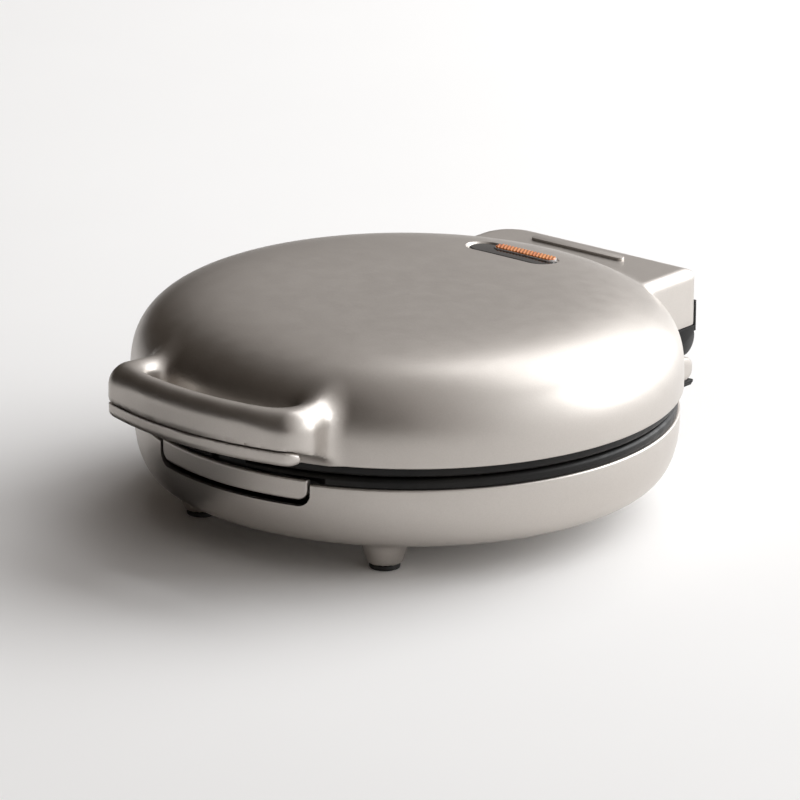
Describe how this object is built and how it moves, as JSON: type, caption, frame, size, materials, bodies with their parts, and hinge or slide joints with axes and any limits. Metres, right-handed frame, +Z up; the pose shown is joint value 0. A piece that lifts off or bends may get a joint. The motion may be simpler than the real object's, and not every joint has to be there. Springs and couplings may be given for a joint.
{
  "type": "donut maker",
  "caption": "Round electric donut maker with a hinged lid, a loop handle, a front latch and facing plates of ring moulds.",
  "frame": {"origin": "on the table under the middle of the bounding box, feet at z = 0", "axes": "+Z up, -Y towards the handle, +Y towards the hinge, +X to the right seen from the handle"},
  "size_m": [0.225, 0.262, 0.0889],
  "materials": {
    "champagne": "satin metallic champagne paint on moulded shell",
    "black_plastic": "matte",
    "coated_aluminium": "non-stick coating on a cast aluminium plate",
    "element_steel": "satin tube",
    "sheet_aluminium": "mill finish",
    "ceramic": "matt",
    "rubber": "matt",
    "screw_steel": "zinc plated",
    "amber_lens": "clear amber, gloss",
    "lamp_glass": "clear",
    "board": "laminate board"
  },
  "bodies": {
    "base": {"base_shell": "champagne", "base_rear_cover": "black_plastic", "lower_plate_frame": "black_plastic", "lower_baking_plate": "coated_aluminium", "lower_heating_element": "element_steel", "lower_heat_reflector": "sheet_aluminium", "thermostat": "ceramic", "thermal_fuse": "ceramic", "terminal_block": "ceramic", "cord_gland": "rubber", "foot_pad_front_left": "rubber", "foot_pad_front_right": "rubber", "foot_pad_rear_left": "rubber", "foot_pad_rear_right": "rubber", "hinge_pin_left": "screw_steel", "hinge_pin_right": "screw_steel", "latch_pin": "screw_steel", "lower_frame_screw_1": "screw_steel", "lower_frame_screw_2": "screw_steel", "lower_frame_screw_3": "screw_steel", "lower_frame_screw_4": "screw_steel", "lower_plate_screw_1": "screw_steel", "lower_plate_screw_2": "screw_steel", "lower_plate_screw_3": "screw_steel"},
    "lid": {"lid_shell": "champagne", "handle_lower_cover": "champagne", "hinge_rear_cover": "black_plastic", "upper_plate_frame": "black_plastic", "upper_baking_plate": "coated_aluminium", "upper_heating_element": "element_steel", "upper_heat_reflector": "sheet_aluminium", "indicator_bezel": "black_plastic", "indicator_lens": "amber_lens", "indicator_lamp": "lamp_glass", "lamp_holder": "board", "handle_screw_left": "screw_steel", "handle_screw_right": "screw_steel", "upper_frame_screw_1": "screw_steel", "upper_frame_screw_2": "screw_steel", "upper_frame_screw_3": "screw_steel", "upper_frame_screw_4": "screw_steel", "upper_plate_screw_1": "screw_steel", "upper_plate_screw_2": "screw_steel", "upper_plate_screw_3": "screw_steel"},
    "latch": {"latch_lever": "champagne"}
  },
  "joints": [
    {"name": "lid_hinge", "type": "hinge", "parent": "base", "child": "lid", "pos_m": [0, 0.1225, 0.0487], "axis": [-1, 0, 0], "range_deg": [0, 90]},
    {"name": "latch_pivot", "type": "hinge", "parent": "base", "child": "latch", "pos_m": [0, -0.1018, 0.0373], "axis": [-1, 0, 0], "range_deg": [0, 8], "stiffness_Nm_per_rad": 0.05, "springref_deg": -5.73}
  ]
}
